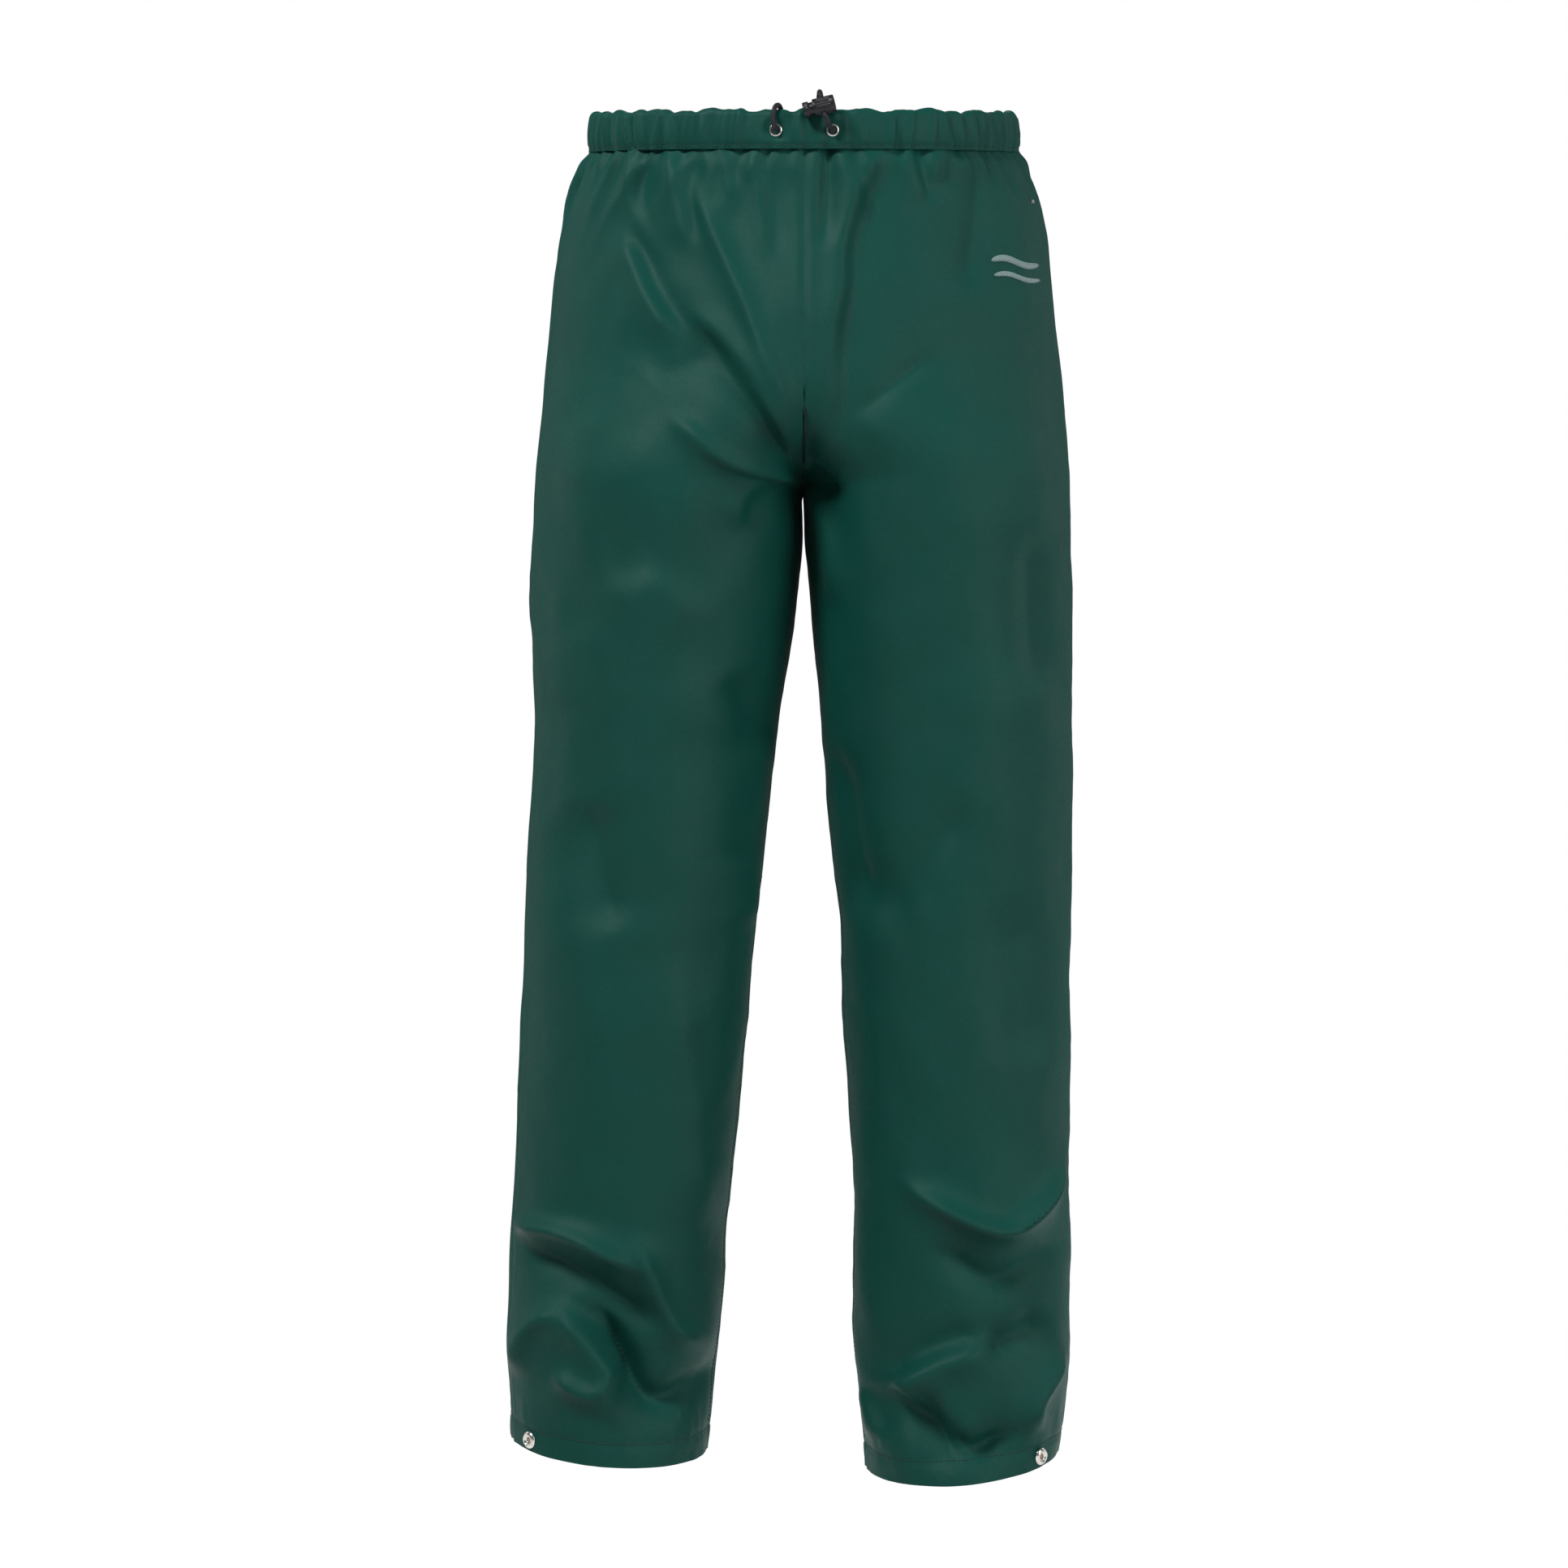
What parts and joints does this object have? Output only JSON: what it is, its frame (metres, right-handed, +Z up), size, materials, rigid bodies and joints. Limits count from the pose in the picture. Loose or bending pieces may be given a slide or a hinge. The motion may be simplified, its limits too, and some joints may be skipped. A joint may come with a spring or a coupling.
{
  "type": "waterproof over-trousers",
  "caption": "Waterproof over-trousers with an elasticated drawcord waist, a spring cord lock and press-fastened hems.",
  "frame": {"origin": "centre of the waist opening, level with the top fold of the waistband at the side seams", "axes": "+Z up the body, +X towards the wearer's left, and the wearer faces -Y"},
  "size_m": [0.4498, 0.276, 1.0983],
  "materials": {
    "cloth": "coated, soft sheen",
    "lining": "matt tape",
    "elastic": "woven",
    "cord": "braided",
    "plastic": "satin moulded",
    "nickel": "polished plate",
    "spring": "drawn wire",
    "label": "woven satin",
    "print": "printed film"
  },
  "bodies": {
    "waist": {"back_rise_tape": "lining", "care_label": "label", "drawcord": "cord", "front_rise_tape": "lining", "hip_print": "print", "left_back_panel_hip": "cloth", "left_back_panel_seat": "cloth", "left_cord_end": "cord", "left_cord_knot": "cord", "left_eyelet": "nickel", "left_eyelet_washer": "nickel", "left_front_panel_hip": "cloth", "left_front_panel_seat": "cloth", "left_side_seam_tape_seat": "lining", "right_back_panel_hip": "cloth", "right_back_panel_seat": "cloth", "right_cord_end": "cord", "right_cord_knot": "cord", "right_eyelet": "nickel", "right_eyelet_washer": "nickel", "right_front_panel_hip": "cloth", "right_front_panel_seat": "cloth", "right_side_seam_tape_seat": "lining", "size_label": "label", "waist_elastic": "elastic", "waistband_casing": "cloth"},
    "left_thigh": {"left_back_panel_knee": "cloth", "left_back_panel_thigh": "cloth", "left_front_panel_knee": "cloth", "left_front_panel_thigh": "cloth", "left_inseam_tape_thigh": "lining", "left_side_seam_tape_thigh": "lining"},
    "right_thigh": {"right_back_panel_knee": "cloth", "right_back_panel_thigh": "cloth", "right_front_panel_knee": "cloth", "right_front_panel_thigh": "cloth", "right_inseam_tape_thigh": "lining", "right_side_seam_tape_thigh": "lining"},
    "left_shin": {"left_back_panel_shin": "cloth", "left_front_panel_shin": "cloth", "left_hem_facing": "cloth", "left_hem_socket": "nickel", "left_hem_socket_post": "nickel", "left_hem_stud": "nickel", "left_hem_stud_post": "nickel", "left_inseam_tape_shin": "lining", "left_side_seam_tape_shin": "lining"},
    "right_shin": {"right_back_panel_shin": "cloth", "right_front_panel_shin": "cloth", "right_hem_facing": "cloth", "right_hem_socket": "nickel", "right_hem_socket_post": "nickel", "right_hem_stud": "nickel", "right_hem_stud_post": "nickel", "right_inseam_tape_shin": "lining", "right_side_seam_tape_shin": "lining"},
    "cord_lock": {"cord_lock_barrel": "plastic", "cord_lock_spring": "spring"},
    "cord_lock_button": {"cord_lock_button": "plastic"}
  },
  "joints": [
    {"name": "left_hip", "type": "hinge", "parent": "waist", "child": "left_thigh", "pos_m": [0.1065, 0.005, -0.301], "axis": [-1, 0, 0], "range_deg": [-20, 70], "deforming": ["left_front_panel_hip", "left_back_panel_hip"]},
    {"name": "left_knee", "type": "hinge", "parent": "left_thigh", "child": "left_shin", "pos_m": [0.1221, 0.001, -0.69], "axis": [1, 0, 0], "range_deg": [-5, 90], "deforming": ["left_front_panel_knee", "left_back_panel_knee"]},
    {"name": "right_hip", "type": "hinge", "parent": "waist", "child": "right_thigh", "pos_m": [-0.1065, 0.005, -0.301], "axis": [-1, 0, 0], "range_deg": [-20, 70], "deforming": ["right_front_panel_hip", "right_back_panel_hip"]},
    {"name": "right_knee", "type": "hinge", "parent": "right_thigh", "child": "right_shin", "pos_m": [-0.1339, 0.001, -0.69], "axis": [1, 0, 0], "range_deg": [-5, 90], "deforming": ["right_front_panel_knee", "right_back_panel_knee"]},
    {"name": "cord_lock_slide", "type": "slide", "parent": "waist", "child": "cord_lock", "axis": [-0.1776, 0.3993, 0.8994], "range_m": [0, 0.04], "deforming": ["left_cord_end"]},
    {"name": "cord_lock_button_press", "type": "slide", "parent": "cord_lock", "child": "cord_lock_button", "axis": [0.9698, -0.084, 0.2288], "range_m": [0, 0.003], "stiffness_N_per_m": 400, "springref_m": -0.004, "deforming": ["cord_lock_spring"]}
  ]
}
